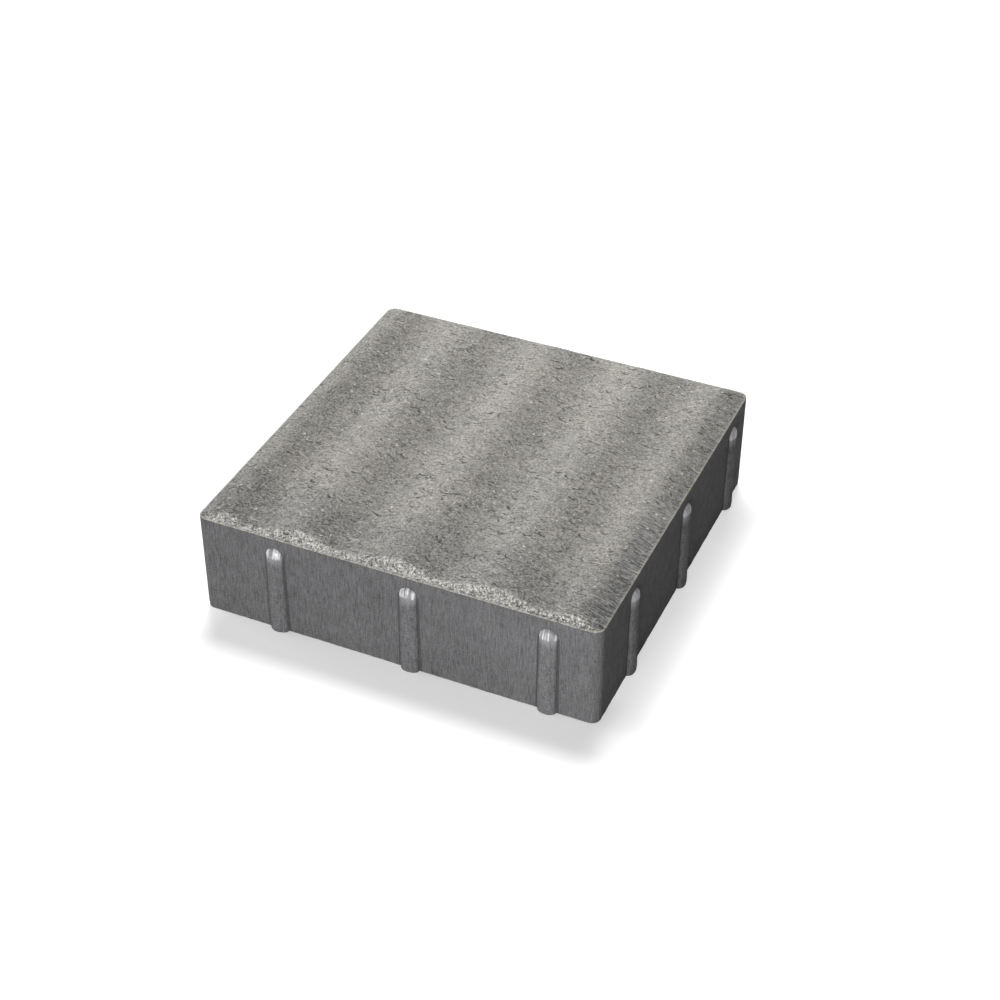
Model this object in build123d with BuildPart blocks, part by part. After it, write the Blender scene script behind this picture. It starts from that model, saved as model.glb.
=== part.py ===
"""Concrete paving stone with a wave-ribbed top and spacer nibs.

One pressed block.  The origin is the centre of its underside, +Z is up and
the waves run front to back, along Y.  All sizes are in millimetres.
"""
from build123d import *
from math import ceil, cos, radians, sin, tan
import os

# Laying raster: a stone and one joint fill a square module
module = 210.0
joint = 3.0
side = module - joint

# Body
height = 60.0
corner_radius = 5.0

# Crown: waves above the top edge, with a flat rim and a slope on each side
crest_rise = 4.5
wave_pitch = 50.0
wave_depth = 2.7
rim_width = 1.2
end_slope = 42.5
flank_slope = 20.5
edge_height = height - crest_rise

# Spacer nibs: tapered ribs that reach across the joint to the next stone
nibs_per_side = 3
nib_shift = 8.3
nib_foot_width = 9.8
nib_foot_reach = joint
nib_head_width = 8.9
nib_head_reach = 2.3
nib_below_edge = 5.5
nib_cap_height = 4.8
nib_cap_turn = 70.0
nib_cap_steps = 5
nib_root = 1.5
nib_pitch = module / nibs_per_side
nib_top = edge_height - nib_below_edge

# The wave as a run of half waves, crest on the centre line, past both flanks
half_pitch = wave_pitch / 2
half_waves = ceil(side / wave_pitch) + 1
extremes = [
    (step * half_pitch, height if step % 2 == 0 else height - wave_depth)
    for step in range(-half_waves, half_waves + 1)
]
wave_end = half_waves * half_pitch

with BuildPart() as crown:
    with BuildSketch(Plane.XZ.offset(side / 2)) as wave:
        with BuildLine():
            Spline(*extremes, tangents=[(1, 0), (1, 0)])
            Polyline(
                extremes[-1],
                (wave_end, edge_height),
                (-wave_end, edge_height),
                extremes[0],
            )
        make_face()
    extrude(amount=-side)
    # The slopes rise from the rim, and their planes go on well above the crests
    slope_rise = 2 * crest_rise
    flank_run = slope_rise / tan(radians(flank_slope))
    end_run = slope_rise / tan(radians(end_slope))
    crown_foot = side - 2 * rim_width
    foot_radius = corner_radius - rim_width
    with BuildSketch(Plane.XY.offset(edge_height)):
        RectangleRounded(crown_foot, crown_foot, foot_radius)
    with BuildSketch(Plane.XY.offset(edge_height + slope_rise)):
        RectangleRounded(crown_foot - 2 * flank_run, crown_foot - 2 * end_run, foot_radius)
    loft(ruled=True, mode=Mode.INTERSECT)

# One nib, standing on the side face at local x = 0 and reaching towards +X.
# Each level is half an ellipse, with a root that is buried in the body.
nib_neck = nib_top - nib_cap_height


def nib_level(level, width, reach):
    with BuildSketch(Plane.XY.offset(level)) as section:
        with BuildLine():
            EllipticalCenterArc((0, 0), reach, width / 2, start_angle=-90, arc_size=180)
            Polyline(
                (0, width / 2),
                (-nib_root, width / 2),
                (-nib_root, -width / 2),
                (0, -width / 2),
            )
        make_face()
    return section.sketch


foot = nib_level(0, nib_foot_width, nib_foot_reach)
neck = nib_level(nib_neck, nib_head_width, nib_head_reach)

# The cap closes in like a dome: its levels follow an ellipse, which stops short of
# its pole and leaves a small flat at the tip
cap = []
for step in range(nib_cap_steps + 1):
    turn = radians(nib_cap_turn * step / nib_cap_steps)
    rise = nib_cap_height * sin(turn) / sin(radians(nib_cap_turn))
    cap.append(nib_level(nib_neck + rise, nib_head_width * cos(turn), nib_head_reach * cos(turn)))

with BuildPart() as nib:
    loft([foot, neck], ruled=True)
    loft(cap)

with BuildPart() as stone:
    with BuildSketch(Plane.XY):
        RectangleRounded(side, side, corner_radius)
    extrude(amount=edge_height)
    add(crown.part)
    nib_places = [
        (0, (step - (nibs_per_side - 1) / 2) * nib_pitch + nib_shift)
        for step in range(nibs_per_side)
    ]
    with PolarLocations(side / 2, 4):
        with Locations(*nib_places):
            add(nib.part)

stone.part.label = "paving_stone"
os.makedirs("parts", exist_ok=True)
export_step(stone.part, "parts/paving_stone.step")
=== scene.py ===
import math
import random

import bpy
from mathutils import Euler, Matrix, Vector
from mathutils.geometry import delaunay_2d_cdt


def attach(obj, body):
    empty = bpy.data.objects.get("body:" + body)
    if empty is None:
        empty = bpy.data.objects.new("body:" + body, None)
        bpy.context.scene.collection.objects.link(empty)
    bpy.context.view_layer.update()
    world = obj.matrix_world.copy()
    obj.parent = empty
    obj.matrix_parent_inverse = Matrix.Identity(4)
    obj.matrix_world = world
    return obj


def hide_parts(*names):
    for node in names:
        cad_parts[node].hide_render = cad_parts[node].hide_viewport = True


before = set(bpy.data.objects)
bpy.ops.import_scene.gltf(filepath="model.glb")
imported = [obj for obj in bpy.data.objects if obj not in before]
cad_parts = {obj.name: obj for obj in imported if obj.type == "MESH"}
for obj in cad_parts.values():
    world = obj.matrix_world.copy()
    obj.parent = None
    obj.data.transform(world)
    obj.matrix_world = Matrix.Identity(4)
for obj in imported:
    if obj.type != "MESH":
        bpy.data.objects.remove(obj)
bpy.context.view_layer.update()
print("frame loaded:", sorted(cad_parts))


# Formulas in node trees: a node's output that can be added, multiplied and compared
class fieldSocket:
    def __init__(self, tree, socket):
        self.tree = tree
        self.socket = socket

    def __add__(self, other):
        return calc("ADD", self, other)

    def __radd__(self, other):
        return calc("ADD", other, self)

    def __sub__(self, other):
        return calc("SUBTRACT", self, other)

    def __rsub__(self, other):
        return calc("SUBTRACT", other, self)

    def __mul__(self, other):
        return calc("MULTIPLY", self, other)

    def __rmul__(self, other):
        return calc("MULTIPLY", other, self)

    def __truediv__(self, other):
        return calc("DIVIDE", self, other)

    def __rtruediv__(self, other):
        return calc("DIVIDE", other, self)

    def __neg__(self):
        return calc("MULTIPLY", self, -1.0)

    def __abs__(self):
        return calc("ABSOLUTE", self)

    def __gt__(self, other):
        return calc("GREATER_THAN", self, other)

    def __lt__(self, other):
        return calc("LESS_THAN", self, other)


def treeOf(*values):                        # the node tree that the fields among them are in
    return next(value.tree for value in values if isinstance(value, fieldSocket))


def plug(value, socket):                    # links an output, or sets a plain number or colour
    if isinstance(value, fieldSocket):
        socket.id_data.links.new(value.socket, socket)
    else:
        socket.default_value = value


def addNode(tree, kind, inputs=None, **settings):
    node = tree.nodes.new(kind)
    for name, value in settings.items():
        setattr(node, name, value)
    for name, value in (inputs or {}).items():
        plug(value, node.inputs[name])
    return node


def addField(tree, kind, inputs=None, output=0, **settings):
    return fieldSocket(tree, addNode(tree, kind, inputs, **settings).outputs[output])


def outputFields(node):                     # all of a node's outputs by name
    return {output.name: fieldSocket(node.id_data, output) for output in node.outputs if output.name}


def calc(operation, *values, clamp=False):
    return addField(treeOf(*values), "ShaderNodeMath", dict(enumerate(values)),
                    operation=operation, use_clamp=clamp)


def vectorCalc(operation, *values):
    return addField(treeOf(*values), "ShaderNodeVectorMath", dict(enumerate(values)), operation=operation)


def scaled(vector, factor):                 # a vector or a colour times a number
    return addField(treeOf(vector, factor), "ShaderNodeVectorMath", {"Vector": vector, "Scale": factor},
                    operation="SCALE")


def parts(vector):                          # x, y and z of a vector
    return list(outputFields(addNode(vector.tree, "ShaderNodeSeparateXYZ", {0: vector})).values())


def vectorOf(x, y, z, tree=None):
    return addField(tree or treeOf(x, y, z), "ShaderNodeCombineXYZ", {0: x, 1: y, 2: z})


def fade(value, start, end):                # 0 at start, 1 at end, smooth between
    return addField(value.tree, "ShaderNodeMapRange", {"Value": value, "From Min": start, "From Max": end},
                    interpolation_type="SMOOTHSTEP")


def choose(condition, whenTrue, whenFalse):   # also blends them where the condition is between 0 and 1
    return whenFalse + condition * (whenTrue - whenFalse)


def larger(*values):                        # the largest of them
    most = values[0]
    for value in values[1:]:
        most = calc("MAXIMUM", most, value)
    return most


def noiseField(place, size, detail=2.0, roughness=0.5, seed=0.0):    # about -0.5 to 0.5, size in mm
    inputs = {"Vector": place, "W": seed, "Scale": 1.0 / size, "Detail": detail, "Roughness": roughness}
    return addField(place.tree, "ShaderNodeTexNoise", inputs, noise_dimensions="4D") - 0.5


seedShift = (31.7, 17.3)                    # each seed moves the cells on by this much, mm


def bentCells(place, cell, bend, reach, seed, detail=2.0, roughness=0.5):
    # Voronoi cells on a place that noise bends: the cells' outputs, and the bent place
    tree = place.tree
    inputs = {"Vector": place, "Scale": bend, "Detail": detail, "Roughness": roughness}
    noise = addField(tree, "ShaderNodeTexNoise", inputs, output="Color")
    bent = vectorCalc("ADD", place, scaled(vectorCalc("SUBTRACT", noise, (0.5, 0.5, 0.5)), reach))
    bent = vectorCalc("ADD", bent, vectorOf(seed * seedShift[0], seed * seedShift[1], 0.0, tree))
    cells = addNode(tree, "ShaderNodeTexVoronoi", {"Vector": bent, "Scale": 1.0 / cell}, feature="F1")
    return outputFields(cells), bent


def spotFields(place, cell, smallest, largest, share, softness, seed):
    # A mask of irregular spots in some of the cells
    cells, _ = bentCells(place, cell, 1.0 / (largest * 1.2), largest * 2.4, seed)
    red, green, _ = parts(cells["Color"])
    radius = smallest + (largest - smallest) * red
    mask = calc("DIVIDE", radius - cells["Distance"] * cell, radius * softness, clamp=True)
    return mask * (green < share)


def addObject(name, data):
    added = bpy.data.objects.new(name, data)
    bpy.context.scene.collection.objects.link(added)
    return added


# Sizes of the stone in millimetres; the names are the inputs of its node tree
stoneSizes = {
    "Side": 207.0,
    "Corner Radius": 5.0,
    "Edge Height": 55.5,
    "Crest Rise": 4.5,
    "Wave Pitch": 50.0,
    "Wave Depth": 2.7,
    "Rim Width": 1.2,
    "End Slope": 42.5,
    "Flank Slope": 20.5,
    "End Softness": 1.1,                    # of the joins between the waves and the slopes
    "Flank Softness": 4.0,
    "Arris Drop": 0.3,                      # how far the very edge is rounded down
    "Nibs Per Side": 3.0,
    "Nib Pitch": 70.0,
    "Nib Shift": 8.3,
    "Nib Foot Width": 9.8,
    "Nib Foot Reach": 2.97,
    "Nib Head Width": 8.9,
    "Nib Head Reach": 2.3,
    "Nib Top": 50.0,
    "Cap Height": 4.8,
    "Nib Root": 1.5,
    "Groove Depth": 0.15,
    "Swell": 0.16,
    "Unevenness": 0.3,
    "Pit Depth": 0.55,
    "Band Roughness": 0.5,
    "Draw Marks": 0.09,
    "Seed": 4.0,
}
blankGrid = {
    "cells": 250,                           # cells along one side of the top
    "edgeLines": [0.0, 0.35, 0.75, 1.2],    # finer lines along each edge, mm
    "wallRows": [0.0, 0.4, 3.0, 7.5, 12.0, 17.0, 22.0, 27.0, 32.0, 37.0, 42.0, 46.5, 50.5, 53.2, 54.7],
    "underStep": 3.8,                       # spacing of the points of the underside, mm
    "underRow": 0.866,                      # its rows stand this much closer
    "underStray": 0.3,                      # how far a point strays, in spacings
    "underMargin": 1.6,                     # free strip inside the edge, mm
    "seed": 11,
}
nibGrid = {
    "across": 25, "up": 37,                 # points across the nib and up it
    "packing": 1.6,                         # over 1: the rows stand closer towards the cap
    "tipOver": 0.4, "sideOver": 0.25,       # how far the block goes on past the tip and the sides, mm
    "sunk": 0.4,                            # how deep those parts lie in the wall, mm
}
skinLook = {                                # the relief: sizes of its noises and pits, mm
    "swell": 16.0,
    "uneven": 3.8,
    "coarse": 2.4,
    "ragged": 3.0,                          # the torn inner edge of the end bands
    "marks": 1.7, "markSquash": 0.06,       # the draw marks, stretched along z
    "pits": {"cell": 5.0, "smallest": 0.7, "largest": 1.9, "share": 0.6, "softness": 0.6, "seed": 4.0},
    "bandPits": {"cell": 3.0, "smallest": 0.6, "largest": 1.3, "share": 0.7, "softness": 0.6, "seed": 9.0},
    "edgeWear": 0.25, "wearHeight": 1.2,    # how far the foot of the walls is worn, and up to what height
    # Where the top and the underside begin and are full, as the z of the normal, and the top's lowest point
    "topFrom": (0.15, 0.4), "underFrom": (-0.4, -0.8), "topBelowEdge": 0.7,
    "bandFrom": (0.25, 0.75), "bandNoise": 0.9,     # the bands' limit, and how far noise frays it
    "rimFrom": (2.6, 1.0),                  # distance from the edge where the relief weakens
    "grooveOut": 0.3, "grooveTop": 1.0,     # the groove's middle beside the nib, and its end below the nib's
    "underUneven": 1.6, "wallSwell": 0.5, "flatCoarse": 0.25,       # shares of a relief elsewhere
}


def gridLines(side, cells, edgeLines):      # even lines from edge to edge, with finer ones along both edges
    step = (side - 2 * edgeLines[-1]) / (cells - 2 * (len(edgeLines) - 1))
    lines = edgeLines[:-1] + [edgeLines[-1] + step * i for i in range(cells - 2 * (len(edgeLines) - 1) + 1)]
    lines += [side - line for line in edgeLines[-2::-1]]
    return [line - side / 2 for line in lines]


def underPoints(side, grid):                # a loose net of points for the underside, clear of its edge
    dice = random.Random(grid["seed"])
    gap = grid["underStep"]
    stray = grid["underStray"]
    points = []
    for row in range(1, int(side / (gap * grid["underRow"]))):
        for column in range(1, int(side / gap)):
            x = -side / 2 + (column + 0.5 * (row % 2)) * gap + dice.uniform(-stray, stray) * gap
            y = -side / 2 + row * gap * grid["underRow"] + dice.uniform(-stray, stray) * gap
            if max(abs(x), abs(y)) < side / 2 - grid["underMargin"]:
                points.append(Vector((x, y)))
    return points


def makeBlank(sizes, grid):                 # a plain box with gridded faces; the node tree gives it its form
    side = sizes["Side"]
    lines = gridLines(side, grid["cells"], grid["edgeLines"])
    last = len(lines) - 1
    loop = [(i, 0) for i in range(last)] + [(last, j) for j in range(last)]
    loop += [(last - i, last) for i in range(last)] + [(0, last - j) for j in range(last)]
    verts = [(lines[i], lines[j], sizes["Edge Height"]) for j in range(last + 1) for i in range(last + 1)]
    faces = []
    for j in range(last):
        for i in range(last):
            corner = j * (last + 1) + i
            faces.append((corner, corner + 1, corner + last + 2, corner + last + 1))
    above = [j * (last + 1) + i for i, j in loop]
    for z in reversed(grid["wallRows"]):    # walls, from the edge down
        below = list(range(len(verts), len(verts) + len(loop)))
        verts += [(lines[i], lines[j], z) for i, j in loop]
        for k in range(len(loop)):
            following = (k + 1) % len(loop)
            faces.append((above[k], below[k], below[following], above[following]))
        above = below
    # Underside: triangles between its own points and the lowest loop
    points = [Vector((lines[i], lines[j])) for i, j in loop] + underPoints(side, grid)
    rim = [(k, (k + 1) % len(loop)) for k in range(len(loop))]
    netPoints, _, net, origins, _, _ = delaunay_2d_cdt(points, rim, [], 1, 1e-5)
    index = []
    for place, point in enumerate(netPoints):
        if origins[place] and origins[place][0] < len(loop):
            index.append(above[origins[place][0]])
        else:
            index.append(len(verts))
            verts.append((point.x, point.y, 0.0))
    for triangle in net:
        a, b, c = (netPoints[k] for k in triangle)
        ids = [index[k] for k in triangle]
        faces.append(tuple(ids if (b - a).cross(c - a) < 0 else reversed(ids)))
    mesh = bpy.data.meshes.new("pavingStone")
    mesh.from_pydata([(x / 1000, y / 1000, z / 1000) for x, y, z in verts], [], faces)
    mesh.update()
    return mesh


crownLook = {
    "softTurn": 4.0,                        # over this height the one softness changes to the other, mm
    "softFoot": 0.25,                       # softness of the slopes' foot on the rim
    "bandFrom": (-0.2, 0.5),                # height of the waves over the end slope where a band begins, mm
}


def crownHeight(sizes, x, y):               # height over the edge: waves, cut by the slopes above the rim
    foot = sizes["Side"] / 2.0 - sizes["Rim Width"]
    bend = sizes["Corner Radius"] - sizes["Rim Width"]
    flankRun = 1.0 / calc("TANGENT", calc("RADIANS", sizes["Flank Slope"]))
    endRun = 1.0 / calc("TANGENT", calc("RADIANS", sizes["End Slope"]))
    across = abs(x) - (foot - bend)
    along = abs(y) - (foot - bend)
    flank = (bend - across) / flankRun
    end = (bend - along) / endRun
    # Where the two slopes meet, the foot's quarter circle shrinks and moves inwards as it rises
    reach = flankRun * flankRun + endRun * endRun
    slant = across * flankRun + along * endRun
    beyond = across * across + along * along - bend * bend
    corner = (calc("SQRT", larger(slant * slant - reach * beyond, 0.0)) - slant) / reach
    inCorner = ((across + corner * flankRun) > 0.0) * ((along + corner * endRun) > 0.0)
    slopes = choose(inCorner, corner, calc("MINIMUM", flank, end))
    turn = calc("COSINE", x * (2 * math.pi) / sizes["Wave Pitch"])
    wave = sizes["Crest Rise"] - sizes["Wave Depth"] * (0.5 - 0.5 * turn)
    nearFlank = fade(end - flank, 0.0, crownLook["softTurn"])       # there the waves run out more softly
    softness = sizes["End Softness"] + (sizes["Flank Softness"] - sizes["End Softness"]) * nearFlank
    form = calc("SMOOTH_MIN", wave, slopes, softness)
    form = calc("SMOOTH_MAX", form, 0.0, crownLook["softFoot"])     # and a slight curve down to the flat rim
    band = fade(wave - end, *crownLook["bandFrom"]) * ((flank - end) > 0.0)     # 1 on the end slopes
    return form, band


def edgeDistance(sizes, x, y):              # from the outer edge inwards, as far as the corner radius
    radius = sizes["Corner Radius"]
    start = sizes["Side"] / 2.0 - radius
    u = larger(abs(x) - start, 0.0)
    v = larger(abs(y) - start, 0.0)
    return radius - calc("SQRT", u * u + v * v)


def wallPlace(sizes, x, y):                 # distance outside the nearest wall, and along it from a nib
    onFlank = abs(x) > abs(y)
    along = choose(onFlank, y * calc("SIGN", x), -(x * calc("SIGN", y)))
    outside = larger(abs(x), abs(y)) - sizes["Side"] / 2.0
    pitch = sizes["Nib Pitch"]
    turned = calc("FLOORED_MODULO", along - sizes["Nib Shift"] + pitch * 0.5, pitch)
    return outside, turned - pitch * 0.5


def position(tree):
    return addField(tree, "GeometryNodeInputPosition")


def moved(geometry, place, selection=True):
    return addField(geometry.tree, "GeometryNodeSetPosition",
                    {"Geometry": geometry, "Position": place, "Selection": selection})


def roundCorners(given, stone):             # in plan: the squares in each corner are bent into a quarter disc
    x, y, z = parts(position(stone.tree))
    radius = given["Corner Radius"]
    inner = given["Side"] / 2.0 - radius
    u = larger((abs(x) - inner) / radius, 0.0)
    v = larger((abs(y) - inner) / radius, 0.0)
    roundX = calc("MINIMUM", abs(x), inner) + radius * u * calc("SQRT", 1.0 - v * v / 2.0)
    roundY = calc("MINIMUM", abs(y), inner) + radius * v * calc("SQRT", 1.0 - u * u / 2.0)
    return moved(stone, vectorOf(calc("SIGN", x) * roundX, calc("SIGN", y) * roundY, z))


def raiseCrown(given, stone):
    lipWidth = 0.5
    x, y, z = parts(position(stone.tree))
    form, _ = crownHeight(given, x, y)
    lip = larger(1.0 - edgeDistance(given, x, y) / lipWidth, 0.0)
    crown = given["Edge Height"] + form - given["Arris Drop"] * lip * lip
    return moved(stone, vectorOf(x, y, crown), z > (given["Edge Height"] - 0.01))


def makeNib(given, grid):                   # a gridded block, its front pushed out to a thumb shape
    tree = given["Side"].tree
    block = addField(tree, "GeometryNodeMeshCube", {"Size": (1.0, 2.0, 1.0), "Vertices X": 2,
                                                    "Vertices Y": grid["across"], "Vertices Z": grid["up"]})
    x, y, z = parts(position(tree))
    down = calc("POWER", larger(0.5 - z, 0.0), grid["packing"])
    nibZ = (given["Nib Top"] + grid["tipOver"]) * (1.0 - down)
    rise = calc("DIVIDE", nibZ, given["Nib Top"] - given["Cap Height"], clamp=True)
    half = choose(rise, given["Nib Head Width"], given["Nib Foot Width"]) / 2.0
    reach = choose(rise, given["Nib Head Reach"], given["Nib Foot Reach"])
    nibY = calc("SINE", y * (math.pi / 2)) * (half + grid["sideOver"])
    left = calc("DIVIDE", given["Nib Top"] - nibZ, given["Cap Height"], clamp=True)
    bow = left * (2.0 - left) - nibY * nibY / (half * half)
    front = reach * calc("SQRT", larger(bow, 0.0)) - grid["sunk"] * (bow < 0.0001)
    return moved(block, vectorOf(choose(x > 0.0, front, -given["Nib Root"]), nibY, nibZ))


def placeNibs(given, nib):                  # the same row on each side, a quarter turn apart
    tree = nib.tree
    count = given["Nibs Per Side"]
    number = addField(tree, "GeometryNodeInputIndex")
    wallNumber = calc("FLOOR", (number + 0.5) / count)
    turn = wallNumber * (math.pi / 2)
    along = (number - wallNumber * count - (count - 1.0) / 2.0) * given["Nib Pitch"] + given["Nib Shift"]
    out = given["Side"] / 2.0
    placeX = calc("COSINE", turn) * out - calc("SINE", turn) * along
    placeY = calc("SINE", turn) * out + calc("COSINE", turn) * along
    places = vectorOf(placeX, placeY, 0.0)
    points = addField(tree, "GeometryNodePoints", {"Count": count * 4.0, "Position": places})
    turned = addField(tree, "FunctionNodeEulerToRotation", {"Euler": vectorOf(0.0, 0.0, turn)})
    nibs = addField(tree, "GeometryNodeInstanceOnPoints",
                    {"Points": points, "Instance": nib, "Rotation": turned})
    return addField(tree, "GeometryNodeRealizeInstances", {"Geometry": nibs})


def joinShells(shells):                     # one closed skin, smooth but for its sharp edges
    tree = treeOf(*shells)
    union = addNode(tree, "GeometryNodeMeshBoolean", operation="UNION", solver="MANIFOLD")
    for shell in shells:
        tree.links.new(shell.socket, union.inputs["Mesh 2"])
    joined = outputFields(union)["Mesh"]
    joined = addField(tree, "GeometryNodeSetShadeSmooth", {"Geometry": joined, "Shade Smooth": True},
                      domain="FACE")
    sharp = addField(tree, "GeometryNodeInputMeshEdgeAngle") > math.radians(40)
    return addField(tree, "GeometryNodeSetShadeSmooth",
                    {"Geometry": joined, "Selection": sharp, "Shade Smooth": False}, domain="EDGE")


def addRelief(given, stone, look):          # always inwards, so that the stone stays inside its sizes
    tree = stone.tree
    place = position(tree)
    x, y, z = parts(place)
    normal = addField(tree, "GeometryNodeInputNormal")
    upward = parts(normal)[2]
    seed = given["Seed"]

    # Masks: top, walls and underside by the slope of the skin, the end bands, the rim, and beside the nibs
    onTop = fade(upward, *look["topFrom"]) * (z > (given["Edge Height"] - look["topBelowEdge"]))
    underneath = fade(upward, *look["underFrom"])
    onWall = 1.0 - larger(onTop, underneath)
    _, band = crownHeight(given, x, y)
    frayed = band + noiseField(place, look["ragged"], 2.0, 0.6, seed + 7.0) * look["bandNoise"]
    band = fade(frayed, *look["bandFrom"]) * onTop
    edge = fade(edgeDistance(given, x, y), *look["rimFrom"])
    outside, fromNib = wallPlace(given, x, y)
    beside = larger(1.0 - abs(abs(fromNib) - given["Nib Foot Width"] / 2.0 - look["grooveOut"]), 0.0)

    # Depths of each kind of relief, in millimetres
    swell = (noiseField(place, look["swell"], 2.0, 0.5, seed) + 0.5) * given["Swell"]
    uneven = (noiseField(place, look["uneven"], 1.0, 0.5, seed + 1.0) + 0.5) * given["Unevenness"]
    coarse = (noiseField(place, look["coarse"], 1.0, 0.5, seed + 2.0) + 0.5) * given["Band Roughness"]
    holes = spotFields(place, **look["pits"]) * (1.0 - edge) * larger(onTop, underneath * 0.8)
    pits = larger(holes, spotFields(place, **look["bandPits"]) * band * (1.0 - edge))
    drawn = vectorOf(x, y, z * look["markSquash"])
    marks = (noiseField(drawn, look["marks"], 2.0, 0.6, seed + 3.0) + 0.5) * given["Draw Marks"]
    groove = beside * given["Groove Depth"] * (outside < 0.3) * onWall
    groove = groove * (z < (given["Nib Top"] - look["grooveTop"]))
    topDepth = swell + uneven * (1.0 - band) + coarse * choose(band, 1.0, look["flatCoarse"])
    topDepth = topDepth + pits * given["Pit Depth"]
    underDepth = swell + uneven * look["underUneven"] + holes * given["Pit Depth"]
    wallDepth = swell * look["wallSwell"] + marks + groove
    depth = onTop * topDepth + underneath * underDepth + onWall * wallDepth
    wear = fade(z, look["wearHeight"], 0.0) * (1.0 - underneath) * look["edgeWear"]
    depth = depth * (1.0 - 0.5 * edge * onTop) + wear
    for name, value in (("pits", pits), ("endBand", band)):      # the top's material reads these
        stone = addField(tree, "GeometryNodeStoreNamedAttribute",
                         {"Geometry": stone, "Name": name, "Value": value}, data_type="FLOAT", domain="POINT")
    shiftedX, shiftedY, shiftedZ = parts(vectorCalc("SUBTRACT", place, scaled(normal, depth)))
    return moved(stone, vectorOf(shiftedX, shiftedY, larger(shiftedZ, 0.0)))


def setFinishes(given, stone, topMaterial, sideMaterial):
    tree = stone.tree
    stone = addField(tree, "GeometryNodeSetMaterial", {"Geometry": stone, "Material": sideMaterial})
    height = parts(position(tree))[2]
    upward = parts(addField(tree, "GeometryNodeInputNormal"))[2]
    faced = (height > ((given["Edge Height"] - 0.45) / 1000.0)) * (upward > 0.25)
    return addField(tree, "GeometryNodeSetMaterial",
                    {"Geometry": stone, "Selection": faced, "Material": topMaterial})


def makeStoneTree(sizes, topMaterial, sideMaterial):
    tree = bpy.data.node_groups.new("stoneForm", "GeometryNodeTree")
    tree.interface.new_socket("Geometry", in_out="INPUT", socket_type="NodeSocketGeometry")
    for name, value in sizes.items():
        tree.interface.new_socket(name, in_out="INPUT", socket_type="NodeSocketFloat").default_value = value
    tree.interface.new_socket("Geometry", in_out="OUTPUT", socket_type="NodeSocketGeometry")
    given = outputFields(tree.nodes.new("NodeGroupInput"))
    stone = moved(given["Geometry"], scaled(position(tree), 1000.0))     # from here on in millimetres
    stone = roundCorners(given, stone)
    stone = raiseCrown(given, stone)
    nibs = placeNibs(given, makeNib(given, nibGrid))
    stone = joinShells((stone, nibs))
    stone = addRelief(given, stone, skinLook)
    stone = moved(stone, scaled(position(tree), 0.001))                  # back to metres
    stone = addField(tree, "GeometryNodeRealizeInstances", {"Geometry": stone})
    stone = setFinishes(given, stone, topMaterial, sideMaterial)
    tree.links.new(stone.socket, tree.nodes.new("NodeGroupOutput").inputs["Geometry"])
    return tree


# Shader node groups: each takes a place in millimetres and named numbers, and gives masks and values
def makeGroup(name, numbers, build):
    tree = bpy.data.node_groups.new(name, "ShaderNodeTree")
    tree.interface.new_socket("Place", in_out="INPUT", socket_type="NodeSocketVector")
    for label, value in numbers.items():
        tree.interface.new_socket(label, in_out="INPUT", socket_type="NodeSocketFloat").default_value = value
    built = build(outputFields(tree.nodes.new("NodeGroupInput")))
    for label in built:
        tree.interface.new_socket(label, in_out="OUTPUT", socket_type="NodeSocketFloat")
    end = tree.nodes.new("NodeGroupOutput")
    for label, field in built.items():
        plug(field, end.inputs[label])
    return tree


def useGroup(group, place, numbers):
    return outputFields(addNode(place.tree, "ShaderNodeGroup", {"Place": place, **numbers}, node_tree=group))


def buildGrain(given):                      # three sizes of noise: sand, lumps and clouds
    place, seed = given["Place"], given["Seed"]
    return {"Sand": noiseField(place, given["Sand"], 3.0, 0.7, seed),
            "Lumps": noiseField(place, given["Lumps"], 2.0, 0.55, seed + 1.0),
            "Clouds": noiseField(place, given["Clouds"], 2.0, 0.5, seed + 2.0)}


def buildSpots(given):
    keys = ("Place", "Cell", "Smallest", "Largest", "Share", "Softness", "Seed")
    return {"Spots": spotFields(*(given[key] for key in keys))}


def buildGrit(given):                       # packed grains, each with its own tint, and the gaps between them
    cell = given["Cell"]
    cells, _ = bentCells(given["Place"], cell, 0.8 / cell, cell * 1.2, given["Seed"])
    return {"Tint": parts(cells["Color"])[0] - 0.5, "Gap": fade(cells["Distance"], 0.42, 0.72)}


crescentLook = {                            # the painted shadow line beside a chip's lifted side, shares of its radius
    "radius": 1.1, "width": 0.12, "leastWidth": 0.32,   # the last one in mm
    "blur": (1.0, 0.3), "ends": (0.35, 0.8),            # across the line, and where it begins and is full
}


def buildFlakes(given):                     # shallow chips, lifted on one side, and the crescent beside it
    cell, smallest, largest = given["Cell"], given["Smallest"], given["Largest"]
    cells, bent = bentCells(given["Place"], cell, 0.9 / largest, largest * 0.8, given["Seed"], 3.0, 0.6)
    distance = cells["Distance"] * cell
    localX, localY, _ = parts(vectorCalc("SUBTRACT", bent, cells["Position"]))
    red, green, blue = parts(cells["Color"])
    radius = smallest + (largest - smallest) * red
    angle = given["Facing"] + (green - 0.5) * given["Spread"]
    uphill = (localX * calc("COSINE", angle) + localY * calc("SINE", angle)) / radius
    present = blue < given["Share"]
    lift = larger(uphill, 0.0) * (distance < radius) * present
    width = radius * crescentLook["width"] + crescentLook["leastWidth"]
    ring = fade(abs(distance - radius * crescentLook["radius"]) / width, *crescentLook["blur"])
    return {"Lift": lift, "Crescent": ring * fade(uphill, *crescentLook["ends"]) * present}


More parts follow.
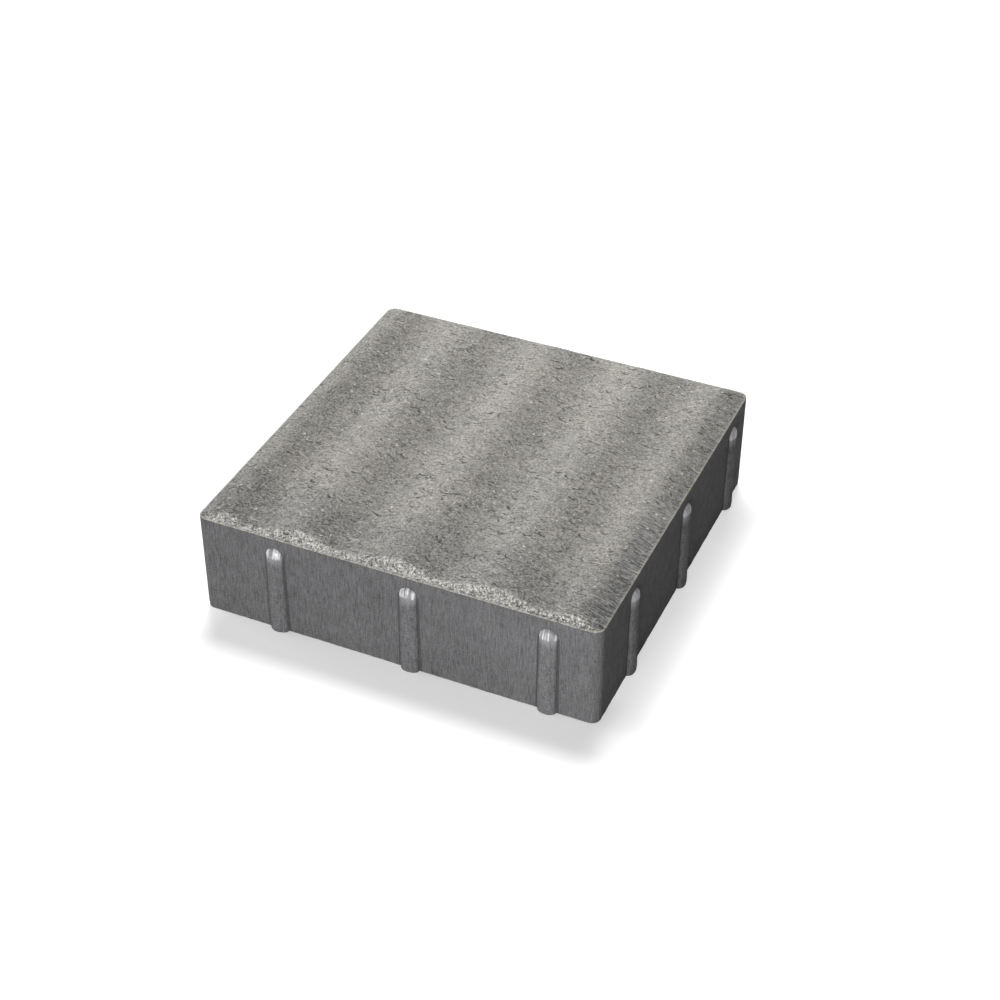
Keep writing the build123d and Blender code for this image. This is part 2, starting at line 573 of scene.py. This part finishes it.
grainGroup = makeGroup("concreteGrain", {"Sand": 0.8, "Lumps": 4.5, "Clouds": 35.0, "Seed": 0.0}, buildGrain)
spotGroup = makeGroup("concreteSpots", {"Cell": 4.0, "Smallest": 0.3, "Largest": 0.8, "Share": 0.4,
                                        "Softness": 0.5, "Seed": 0.0}, buildSpots)
flakeGroup = makeGroup("concreteFlakes", {"Cell": 5.0, "Smallest": 0.5, "Largest": 1.8, "Share": 0.6,
                                          "Facing": -1.75, "Spread": 1.6, "Seed": 0.0}, buildFlakes)
gritGroup = makeGroup("concreteGrit", {"Cell": 1.0, "Seed": 0.0}, buildGrit)
print("shader groups made")


def newMaterial(name):
    material = bpy.data.materials.new(name)
    material.use_nodes = True
    tree = material.node_tree
    tree.nodes.clear()
    surface = tree.nodes.new("ShaderNodeBsdfPrincipled")
    end = tree.nodes.new("ShaderNodeOutputMaterial")
    tree.links.new(surface.outputs["BSDF"], end.inputs["Surface"])
    return material, tree, surface


def objectPlace(tree):                      # place on the object, in millimetres
    return scaled(addField(tree, "ShaderNodeTexCoord", output="Object"), 1000.0)


def blend(factor, first, second):           # two colours; a plain one is three numbers
    node = addNode(factor.tree, "ShaderNodeMix", {0: factor}, data_type="RGBA", blend_type="MIX")
    for colour, socket in ((first, node.inputs[6]), (second, node.inputs[7])):
        plug(colour if isinstance(colour, fieldSocket) else (*colour, 1.0), socket)
    return fieldSocket(factor.tree, node.outputs[2])


def setSurface(surface, look, colour, roughness, height):
    bump = addField(colour.tree, "ShaderNodeBump",
                    {"Height": height, "Strength": 1.0, "Distance": look["bumpDistance"]})
    plug(colour, surface.inputs["Base Color"])
    plug(calc("ADD", roughness, 0.0, clamp=True), surface.inputs["Roughness"])
    plug(look["specular"], surface.inputs["Specular IOR Level"])
    plug(bump, surface.inputs["Normal"])


facedLook = {                               # the pressed top
    "colour": (0.380, 0.368, 0.336),
    "coolColour": (0.364, 0.356, 0.329),
    "flankColour": (0.350, 0.349, 0.340),
    "bandColour": (0.47, 0.465, 0.44),
    "rimColour": (0.48, 0.46, 0.40),
    "paleGrain": (0.80, 0.79, 0.75),
    "sandGrain": (0.62, 0.57, 0.48),
    "shadeAndMarkDark": (0.07, 0.07, 0.065),
    "boardSquash": 0.7,                     # the smoothing board draws the grain out along x
    "dragSquash": 0.16,                     # the drag marks are drawn out much more
    "grain": {"Sand": 0.9, "Lumps": 4.0, "Clouds": 24.0},
    "drag": {"Sand": 0.72, "Lumps": 1.8, "Clouds": 9.0, "Seed": 3.0},
    "grit": {"Cell": 0.75},
    "pale": {"Cell": 3.9, "Smallest": 0.3, "Largest": 0.85, "Share": 0.6, "Softness": 0.4, "Seed": 2.0},
    "fine": {"Cell": 2.0, "Smallest": 0.3, "Largest": 0.7, "Share": 0.4, "Softness": 0.6, "Seed": 8.0},
    "tan": {"Cell": 11.0, "Smallest": 1.0, "Largest": 2.6, "Share": 0.5, "Seed": 5.0},
    "flakes": {"Cell": 5.2, "Smallest": 0.8, "Largest": 2.9, "Share": 0.9, "Seed": 1.0},
    "chips": {"Cell": 2.5, "Smallest": 0.5, "Largest": 1.4, "Share": 0.9, "Seed": 6.0},
    "tornSize": 8.0, "tornFrom": (-0.06, 0.14), "calm": 0.2,    # torn patches; share of the marks elsewhere
    "litFrom": (0.55, 0.95), "scrapedFrom": (-0.14, -0.32), "warmFrom": (-0.15, 0.15),
    "rimEdge": (1.2, 0.7), "rimNoise": 1.2, # the pale rim's width, and how far the sand frays it, mm
    "wander": {"clouds": 22.0, "lumps": 9.0},   # how far noise moves the limits of the zones below, mm
    # Where each zone begins and where it is full: inwards from the right side, along x, or along y
    "dragFromRight": (15.0, 7.0), "dragAlongY": (20.0, -50.0),
    "flankFromRight": (26.0, 7.0), "leftAlongX": (-40.0, -85.0), "frontAlongY": (-45.0, -90.0),
    # How far each zone darkens the skin as painted shade, and how far each grain and mark makes it lighter or
    # darker
    "paintedShades": {"lee": 0.11, "front": 0.14, "left": 0.11, "flank": 0.24, "everywhere": -0.025},
    "tones": {"sand": 2.5, "lumps": 0.45, "clouds": 0.2, "lit": 0.45, "dragLumps": 0.6, "dragSand": 0.7},
    "gritTones": (0.45, 0.4, 0.12, 0.3),    # tint of the grains and what a band adds; the same for the gaps
    "bandEvening": 0.12,                    # painted light and shade against the lamps' fall-off: makes the bands lighter at the left and darker at the right
    "darkest": 0.25,
    # How fully each covers the skin, and how far each stands out or in
    "covers": {"rim": 0.8, "pale": 0.85, "tan": 0.6, "pits": 0.4, "scraped": 0.4, "crescents": 0.95},
    "heights": {"sand": 0.8, "lumps": 0.5, "fine": -0.3, "pale": 0.3, "flakes": 0.8, "chips": 0.5, "tan": 0.3,
                "crescents": -0.3},
    "roughness": 0.90,
    "specular": 0.25,
    "bumpDistance": 0.0009,
}


def makeFacedConcrete(look, sizes):
    material, tree, surface = newMaterial("facedConcrete")
    place = objectPlace(tree)
    x, y, z = parts(place)
    rightEdge = sizes["Side"] / 2.0
    along = vectorOf(x * look["boardSquash"], y, z)
    grain = useGroup(grainGroup, along, look["grain"])
    drag = useGroup(grainGroup, vectorOf(x * look["dragSquash"], y, z * look["dragSquash"]), look["drag"])
    grit = useGroup(gritGroup, place, look["grit"])
    pale, fine = (useGroup(spotGroup, place, look[kind]) for kind in ("pale", "fine"))
    tan, flakes, chips = (useGroup(flakeGroup, along, look[kind]) for kind in ("tan", "flakes", "chips"))
    pits, band = (addField(tree, "ShaderNodeAttribute", output="Fac", attribute_name=name)
                  for name in ("pits", "endBand"))

    # Zones: the rim, the dragged right flank, torn skin, painted light and shade on the two sides of each
    # wave, painted shade towards the front and on the right flank, and darker towards the left
    rim = fade(edgeDistance(sizes, x, y) + grain["Sand"] * look["rimNoise"], *look["rimEdge"])
    wander = grain["Clouds"] * look["wander"]["clouds"] + grain["Lumps"] * look["wander"]["lumps"]
    dragged = fade(x + wander, *(rightEdge - inwards for inwards in look["dragFromRight"]))
    dragged = dragged * (0.45 + 0.55 * fade(y + wander, *look["dragAlongY"]))
    torn = fade(grain["Lumps"] * 0.6 + noiseField(along, look["tornSize"], 2.0, 0.6, 9.0), *look["tornFrom"])
    # Painted light and shade: the left-facing side of each wave lighter, the right-facing side darker
    lee = calc("SINE", x * (2 * math.pi) / sizes["Wave Pitch"])
    front = fade(y + grain["Clouds"] * 60.0, *look["frontAlongY"])
    left = fade(x + wander, *look["leftAlongX"])
    flank = fade(x + wander * 0.3, *(rightEdge - inwards for inwards in look["flankFromRight"]))
    paintedShades = look["paintedShades"]
    paintedShade = lee * paintedShades["lee"] + paintedShades["everywhere"] + front * paintedShades["front"] + left * paintedShades["left"]
    paintedShade = paintedShade + flank * paintedShades["flank"]

    # Marks: painted shadow crescents beside the chips, also dented a little, and painted highlights on their
    # lifted edges
    tear = choose(torn, 1.0, look["calm"])
    crescents = larger(flakes["Crescent"], chips["Crescent"] * 0.9) * tear
    lit = fade(larger(flakes["Lift"], chips["Lift"]), *look["litFrom"]) * tear
    tint, bandTint, gap, bandGap = look["gritTones"]
    speckle = grit["Tint"] * (tint + bandTint * band) - grit["Gap"] * (gap + bandGap * band)
    scraped = fade(drag["Lumps"] + drag["Sand"] * 0.6 + grain["Lumps"] * 0.4, *look["scrapedFrom"]) * dragged
    sand = choose(dragged, drag["Sand"], grain["Sand"])

    # Light and dark of the skin, painted shade included, its colours, then grains, and painted shade in holes
    # and chip crescents, over them
    tones = look["tones"]
    shade = 1.0 + sand * (tones["sand"] + 0.1 * band) + grain["Lumps"] * tones["lumps"]
    shade = shade + grain["Clouds"] * tones["clouds"] + speckle + lit * tones["lit"] - paintedShade * (1.0 - band)
    shade = shade + (drag["Lumps"] * tones["dragLumps"] + drag["Sand"] * tones["dragSand"]) * dragged
    shade = shade + (fade(x, 90.0, -90.0) - 0.5) * look["bandEvening"] * band
    shade = choose(rim * 0.45, 1.0, shade)
    warm = fade(grain["Lumps"] + grain["Clouds"], *look["warmFrom"])
    colour = blend(warm, look["coolColour"], look["colour"])
    # A darker, cooler colour on the dragged right flank, and as painted shade towards the front
    colour = blend(larger(dragged, front * 0.7), colour, look["flankColour"])
    colour = blend(band, colour, look["bandColour"])
    covers = look["covers"]
    colour = blend(rim * covers["rim"], colour, look["rimColour"])
    colour = scaled(colour, larger(shade, look["darkest"]))
    colour = blend(pale["Spots"] * covers["pale"], colour, look["paleGrain"])
    colour = blend(tan["Crescent"] * covers["tan"], colour, look["sandGrain"])
    # Near black: painted shade in the pits and small holes and in the chips' shadow crescents, and the dark
    # scraped marks
    dark = larger(pits * covers["pits"], fine["Spots"] * (0.25 + 0.25 * torn + 0.55 * band),
                  scraped * covers["scraped"], crescents * covers["crescents"])
    colour = blend(dark * (1.0 - 0.7 * rim), colour, look["shadeAndMarkDark"])

    heights = look["heights"]
    height = sand * (heights["sand"] + 0.4 * band) + grain["Lumps"] * heights["lumps"]
    height = height + fine["Spots"] * heights["fine"] + pale["Spots"] * heights["pale"]
    height = height + (flakes["Lift"] * heights["flakes"] + chips["Lift"] * heights["chips"]) * tear
    height = height + tan["Lift"] * heights["tan"] + crescents * heights["crescents"]
    height = height - grit["Gap"] * (0.15 + 0.35 * band)
    setSurface(surface, look, colour, look["roughness"] + grain["Sand"] * 0.1, height)
    return material


mouldedLook = {                             # the sides, drawn out of the mould, and the underside
    "colour": (0.0915, 0.091, 0.0935),
    "capHighlightColour": (0.47, 0.47, 0.485),
    "speck": (0.055, 0.055, 0.057),
    "rootShade": (0.045, 0.045, 0.045),
    "drawSquash": 0.07,                     # the draw marks are stretched along z
    "speckSquash": 0.5,
    "grain": {"Sand": 0.7, "Lumps": 5.0, "Clouds": 26.0},
    "draw": {"Sand": 0.5, "Lumps": 1.4, "Clouds": 12.0, "Seed": 6.0},
    "specks": {"Cell": 2.7, "Smallest": 0.3, "Largest": 0.9, "Share": 0.6, "Softness": 0.9, "Seed": 3.0},
    "tones": {"drawSand": 2.0, "drawLumps": 0.35, "sand": 1.8, "lumps": 0.3, "clouds": 0.3},
    "nibTones": {"everywhere": 0.1, "sand": 1.0, "lumps": 0.4},
    "frontPaintedLight": 0.12,                    # painted light: the front wall lighter towards the right
    "darkest": 0.3,
    "covers": {"specks": 0.55, "rootShade": 0.75, "highlightBelowCap": 0.22},
    "capBlur": (0.9, 0.4), "highlightRunLength": 6.0,      # the painted cap highlight: its blur below and above the start of the cap, and how far it runs down, mm
    "capFray": 3.0, "highlightFray": 6.0,       # how far the draw marks move those limits, mm
    "streakFrom": (-0.03, 0.1), "flankStreak": 0.45, "flankShare": 0.7,     # streaks of the painted highlight on the caps, fainter on flanks
    "lineOut": 0.45, "lineBlur": (0.8, 0.3), "lineEnd": 1.5,    # the painted shade line beside a nib's root, mm
    "heights": {"drawSand": 0.8, "sand": 0.5, "specks": -0.6},
    "roughness": 0.66,
    "specular": 0.02,
    "coatRoughness": 0.35,
    "bumpDistance": 0.0006,
}


def makeMouldedConcrete(look, sizes):
    material, tree, surface = newMaterial("mouldedConcrete")
    place = objectPlace(tree)
    x, y, z = parts(place)
    grain = useGroup(grainGroup, place, look["grain"])
    wall = sizes["Side"] / 2.0
    held = [calc("MINIMUM", larger(value, -wall), wall) for value in (x, y)]    # marks run on over the nibs
    drawn = useGroup(grainGroup, vectorOf(*held, z * look["drawSquash"]), look["draw"])
    specks = useGroup(spotGroup, vectorOf(x, y, z * look["speckSquash"]), look["specks"])

    # Zones: the nibs, the painted highlight on their caps and running down below them, the painted shade line
    # at their roots, and the underside
    outside, fromNib = wallPlace(sizes, x, y)
    capStart = sizes["Nib Top"] - sizes["Cap Height"]
    rise = calc("DIVIDE", z, capStart, clamp=True)
    half = choose(rise, sizes["Nib Head Width"], sizes["Nib Foot Width"]) / 2.0
    onNib = fade(outside, 0.0, 0.18)
    streak = fade(drawn["Sand"] * 0.5 + drawn["Lumps"], *look["streakFrom"])
    streak = choose((abs(x) > abs(y)) * look["flankShare"], look["flankStreak"], streak)
    below, above = look["capBlur"]
    capHighlight = fade(z + drawn["Lumps"] * look["capFray"], capStart - below, capStart + above) * onNib
    highlightBelowCap = fade(z + drawn["Lumps"] * look["highlightFray"], capStart - look["highlightRunLength"], capStart) * onNib
    capHighlightMask = capHighlight * choose(streak, 1.0, 0.25)
    # Painted shade in the crease beside each nib's root, over the shallow real groove
    line = fade(abs(abs(fromNib) - half - look["lineOut"]), *look["lineBlur"])
    line = line * fade(z, capStart + look["lineEnd"], capStart - look["lineEnd"]) * (outside > -1.0)
    under = fade(z, 0.25, 0.05)

    tones, nibTones, covers, heights = (look[key] for key in ("tones", "nibTones", "covers", "heights"))
    shade = 1.0 + (drawn["Sand"] * tones["drawSand"] + drawn["Lumps"] * tones["drawLumps"]) * (1.0 - under)
    shade = shade + grain["Lumps"] * tones["lumps"] + grain["Clouds"] * tones["clouds"]
    shade = shade + grain["Sand"] * tones["sand"]
    # Painted light: the nibs a little lighter all over, with their own mottling
    nibShade = nibTones["everywhere"] + grain["Sand"] * nibTones["sand"] + grain["Lumps"] * nibTones["lumps"]
    # Painted light: the front wall lighter towards the right
    shade = shade + onNib * nibShade + fade(x, 0.0, 100.0) * fade(y, -95.0, -101.0) * look["frontPaintedLight"]
    colour = scaled(look["colour"], larger(shade, look["darkest"]))
    colour = blend(specks["Spots"] * covers["specks"], colour, look["speck"])
    colour = blend(line * covers["rootShade"], colour, look["rootShade"])
    # Painted highlight on the nib caps, fading down below them; the caps also get a real glossy coat
    colour = blend(larger(capHighlightMask, highlightBelowCap * covers["highlightBelowCap"]), colour, look["capHighlightColour"])
    roughness = look["roughness"] + drawn["Sand"] * 0.25 + under * 0.3 - capHighlight * 0.1
    height = drawn["Sand"] * heights["drawSand"] + grain["Sand"] * (heights["sand"] + under)
    height = (height + specks["Spots"] * heights["specks"]) * (1.0 - 0.7 * capHighlight)
    setSurface(surface, look, colour, roughness, height)
    plug(look["coatRoughness"], surface.inputs["Coat Roughness"])
    plug(capHighlightMask, surface.inputs["Coat Weight"])
    return material


facedConcrete = makeFacedConcrete(facedLook, stoneSizes)
mouldedConcrete = makeMouldedConcrete(mouldedLook, stoneSizes)
print("concrete finishes made")


def formStone(stone, sizes, tree):          # runs the node tree once and keeps the mesh that it gives
    blank = stone.data
    former = stone.modifiers.new("stoneForm", "NODES")
    former.node_group = tree
    for item in tree.interface.items_tree:
        if item.in_out == "INPUT" and item.name in sizes:
            former[item.identifier] = sizes[item.name]
    formed = bpy.data.meshes.new_from_object(stone.evaluated_get(bpy.context.evaluated_depsgraph_get()))
    stone.modifiers.clear()
    stone.data = formed
    bpy.data.meshes.remove(blank)
    formed.name = "pavingStone"
    formed.calc_loop_triangles()
    print("stone formed:", len(formed.vertices), "points,", len(formed.loop_triangles), "triangles,",
          [material.name for material in formed.materials])


pavingStone = addObject("pavingStone", makeBlank(stoneSizes, blankGrid))
formStone(pavingStone, stoneSizes, makeStoneTree(stoneSizes, facedConcrete, mouldedConcrete))
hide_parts("paving_stone")
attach(pavingStone, "root")


def seenDirectly(tree):                     # 1 for rays from the camera, and through or off glass and metal
    rays = outputFields(addNode(tree, "ShaderNodeLightPath"))
    return larger(rays["Is Camera Ray"], rays["Is Glossy Ray"], rays["Is Transmission Ray"])


# Stage: a white floor that keeps the stone's shadow, sizes in metres
floorLook = {
    "size": 12.0,
    "bounce": 0.60,
    "glow": 0.58,                           # white where no shadow falls
    # A painted shadow deepens the shadow in front of the stone and, less, at its right
    "frontShade": {"depth": 0.15, "shift": 0.006, "inset": 0.011, "ahead": 0.003, "width": 0.013,
                   "reach": 0.016},
    "sideShade": {"depth": 0.12, "full": 0.014, "wane": 0.015, "end": 0.028, "front": 0.012, "back": 0.03},
}


# Painted shadow on the floor: darker in front of the stone and at its right
def floorShade(look, half, x, y):
    front, right = look["frontShade"], look["sideShade"]
    u = larger(abs(x - front["shift"]) - (half - front["inset"]), 0.0)
    v = larger(abs(y + half + front["ahead"]) - front["width"], 0.0)
    ahead = fade(calc("SQRT", u * u + v * v), front["reach"], 0.0)
    away = x - half
    beside = fade(away, 0.0, right["full"]) * fade(away, right["end"], right["wane"])
    beside = beside * fade(y, -half - right["front"], -half + right["front"])
    beside = beside * fade(y, half, half - right["back"])
    return ahead * front["depth"] + beside * right["depth"]


def makeFloor(look, half):
    mesh = bpy.data.meshes.new("floor")
    edge = look["size"] / 2
    corners = [(-edge, -edge, 0), (edge, -edge, 0), (edge, edge, 0), (-edge, edge, 0)]
    mesh.from_pydata(corners, [], [(0, 1, 2, 3)])
    material, tree, surface = newMaterial("paleFloor")
    plug((look["bounce"], look["bounce"], look["bounce"], 1.0), surface.inputs["Base Color"])
    plug(1.0, surface.inputs["Roughness"])
    plug(0.0, surface.inputs["Specular IOR Level"])
    x, y, _ = parts(addField(tree, "ShaderNodeTexCoord", output="Object"))
    glow = seenDirectly(tree) * (look["glow"] - floorShade(look, half, x, y))
    plug((1.0, 1.0, 1.0, 1.0), surface.inputs["Emission Color"])
    plug(glow, surface.inputs["Emission Strength"])
    mesh.materials.append(material)
    return addObject("floor", mesh)


floor = makeFloor(floorLook, stoneSizes["Side"] / 2000.0)


# Light: a soft sun above and behind casts the short shadow; boxes stand at the left, in front and behind
lampLooks = {                               # toward the lamp, level that a facing white surface gets, metres
    "sun": {"toward": (-0.205, 0.49, 1.0), "level": 0.68, "angle": 18.0},
    "sideBox": {"toward": (-0.86, -0.04, 0.17), "level": 0.88, "distance": 2.5, "width": 1.5, "height": 1.2},
    "frontBox": {"toward": (0.22, -1.15, 0.09), "level": 1.21, "distance": 1.0, "width": 0.5, "height": 0.15},
    "backBox": {"toward": (0.0, 0.25, 0.12), "level": 0.34, "distance": 0.4, "width": 0.4, "height": 0.15},
}
lampAim = Vector((0, 0, 0.03))              # the middle of the stone
sunDistance = 2.0                           # its light is the same from anywhere
roomLevel = 0.05


def makeLamp(name, look):
    if "angle" in look:
        lamp = bpy.data.lights.new(name, "SUN")
        lamp.angle = math.radians(look["angle"])
        lamp.energy = look["level"] * math.pi
    else:
        lamp = bpy.data.lights.new(name, "AREA")
        lamp.shape = "RECTANGLE"
        lamp.size = look["width"]
        lamp.size_y = look["height"]
        lamp.energy = look["level"] * (math.pi * look["distance"]) ** 2     # in watts
    lampObject = addObject(name, lamp)
    toward = Vector(look["toward"]).normalized()
    lampObject.location = lampAim + toward * look.get("distance", sunDistance)
    lampObject.rotation_euler = toward.to_track_quat("Z", "Y").to_euler()
    lampObject.visible_camera = False


def makeRoom(level):                        # a dim room that looks white
    world = bpy.data.worlds.new("room")
    bpy.context.scene.world = world
    world.use_nodes = True
    tree = world.node_tree
    tree.nodes.clear()
    strength = level + seenDirectly(tree) * (1.0 - level)
    background = addNode(tree, "ShaderNodeBackground", {"Color": (1.0, 1.0, 1.0, 1.0), "Strength": strength})
    end = addNode(tree, "ShaderNodeOutputWorld")
    tree.links.new(background.outputs[0], end.inputs["Surface"])


for lampName, lampLook in lampLooks.items():
    makeLamp(lampName, lampLook)
makeRoom(roomLevel)

cameraLook = {                              # fitted to the photo's edges: metres, degrees, millimetres
    "location": (0.32367, -0.71439, 0.62544),
    "tilt": 52.598, "roll": -0.234, "turn": 23.979,
    "lens": 70.38,
}
eye = bpy.data.cameras.new("camera")
eye.lens = cameraLook["lens"]
camera = addObject("camera", eye)
camera.location = cameraLook["location"]
camera.rotation_euler = Euler([math.radians(cameraLook[key]) for key in ("tilt", "roll", "turn")])
bpy.context.scene.camera = camera
bpy.context.scene.view_settings.view_transform = "Standard"
print("stage, lights and camera set")
